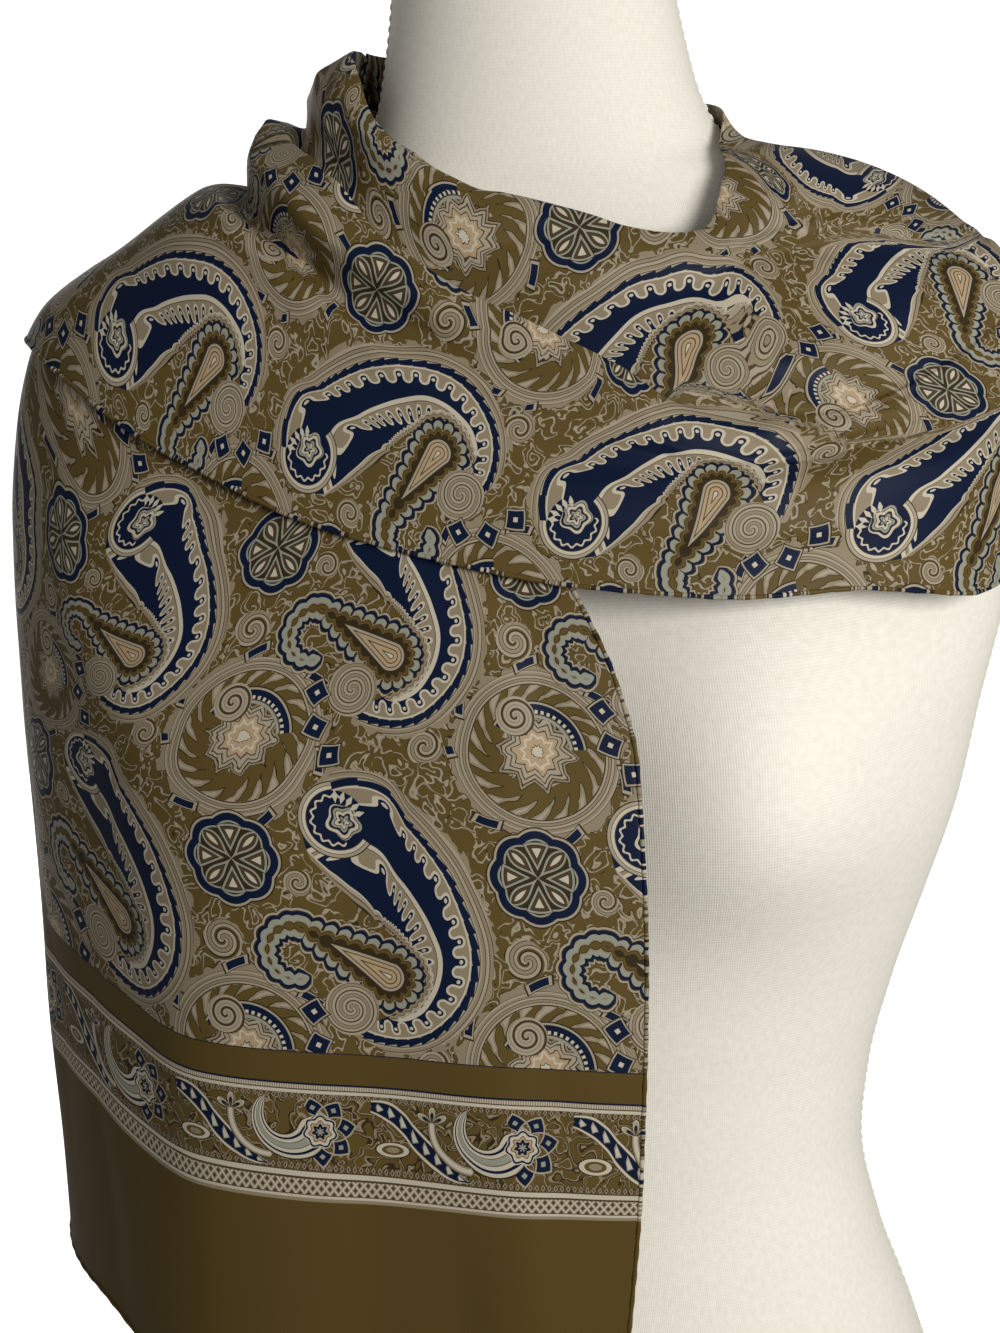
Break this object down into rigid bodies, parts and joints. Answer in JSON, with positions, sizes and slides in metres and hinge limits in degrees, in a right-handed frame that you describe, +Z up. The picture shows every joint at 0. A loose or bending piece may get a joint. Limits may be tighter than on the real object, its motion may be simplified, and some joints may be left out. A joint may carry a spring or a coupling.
{
  "type": "oblong scarf on a dress form",
  "caption": "Oblong printed silk scarf wound once round the neck of a limbless dress form, folded across the chest and over one shoulder, its bordered end hanging in front",
  "frame": {"origin": "middle of the dress form's flat base, on the surface it stands on", "axes": "+Z up the dress form's neck, -Y the way its chest faces, +X to the viewer's right when seen from the front"},
  "size_m": [0.4256, 0.2717, 0.748],
  "materials": {
    "form_cloth": "matt woven cover",
    "front_silk": "printed silk, soft sheen",
    "neck_silk": "printed silk, soft sheen",
    "cross_silk": "printed silk, soft sheen",
    "back_silk": "printed silk, soft sheen"
  },
  "bodies": {
    "root": {"dress_form": "form_cloth", "front_tail": "front_silk", "neck_pass": "neck_silk", "cross_wrap": "cross_silk", "back_tail": "back_silk"}
  },
  "joints": []
}
